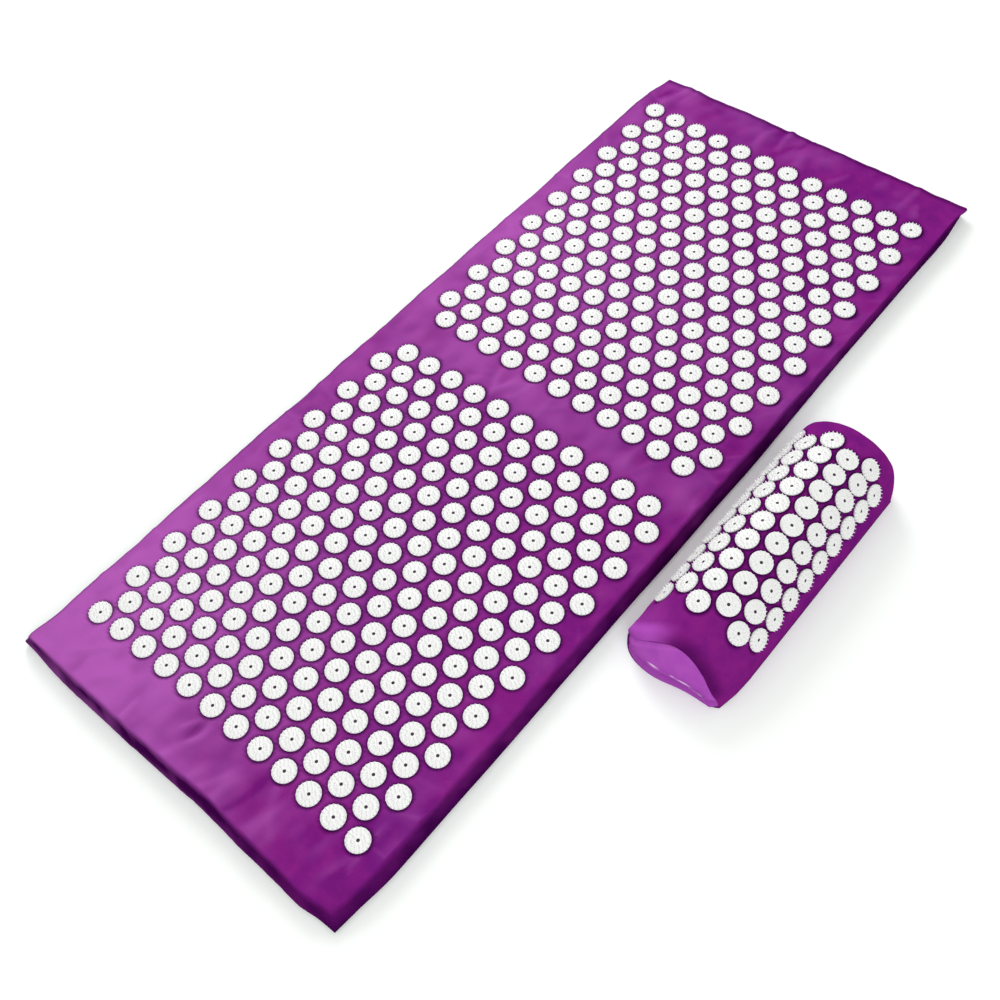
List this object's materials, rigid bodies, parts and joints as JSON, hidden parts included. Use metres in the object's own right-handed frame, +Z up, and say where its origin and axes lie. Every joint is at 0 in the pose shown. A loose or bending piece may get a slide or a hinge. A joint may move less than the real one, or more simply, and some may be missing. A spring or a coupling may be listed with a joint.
{
  "type": "acupressure mat",
  "caption": "Long padded cloth mat with fields of spiked discs that folds in half, and a half-round pillow with spiked discs, each with a zipped cover over foam.",
  "frame": {"origin": "on the floor, under the middle of the box round the mat and its pillow", "axes": "+Y along the mat to its zipped head end, +X across it to the side where the pillow stands, +Z up"},
  "size_m": [0.6834, 1.268, 0.0922],
  "materials": {
    "top_cloth": "plain violet cotton",
    "base_cloth": "plain dark violet cotton",
    "end_cloth": "plain light violet cotton",
    "foam": "open foam",
    "zip_tape": "woven violet tape with moulded teeth",
    "zip_slider": "violet paint",
    "disc_plastic": "white moulded plastic"
  },
  "bodies": {
    "foot_half": {"foot_cover": "top_cloth", "foot_base_panel": "base_cloth", "foot_foam": "foam"},
    "head_half": {"head_cover": "top_cloth", "head_base_panel": "base_cloth", "head_foam": "foam", "mat_zip_upper_tape": "zip_tape", "mat_zip_lower_tape": "zip_tape"},
    "mat_slider": {"mat_zip_slider": "zip_slider"},
    "mat_pull": {"mat_zip_pull": "zip_slider"},
    "pillow": {"pillow_cover": "top_cloth", "pillow_base_panel": "base_cloth", "pillow_near_panel": "end_cloth", "pillow_far_panel": "end_cloth", "pillow_foam": "foam", "pillow_zip_upper_tape": "zip_tape", "pillow_zip_lower_tape": "zip_tape"},
    "pillow_slider": {"pillow_zip_slider": "zip_slider"},
    "pillow_pull": {"pillow_zip_pull": "zip_slider"}
  },
  "joints": [
    {"name": "mat_fold", "type": "hinge", "parent": "foot_half", "child": "head_half", "pos_m": [-0.07875, -0.002, 0.031], "axis": [1, 0, 0], "range_deg": [0, 180]},
    {"name": "mat_zip_slide", "type": "slide", "parent": "head_half", "child": "mat_slider", "axis": [1, 0, 0], "range_m": [0, 0.4344]},
    {"name": "mat_pull_swing", "type": "hinge", "parent": "mat_slider", "child": "mat_pull", "pos_m": [-0.29595, 0.63021, 0.01], "axis": [0, 0, 1], "range_deg": [0, 180]},
    {"name": "pillow_lift", "type": "slide", "parent": "foot_half", "child": "pillow", "axis": [0, 0, 1], "range_m": [0, 0.15]},
    {"name": "pillow_zip_slide", "type": "slide", "parent": "pillow", "child": "pillow_slider", "axis": [-1, 0, 0], "range_m": [0, 0.0864]},
    {"name": "pillow_pull_swing", "type": "hinge", "parent": "pillow_slider", "child": "pillow_pull", "pos_m": [0.31595, -0.19321, 0.0085], "axis": [0, 0, 1], "range_deg": [0, 180]}
  ]
}
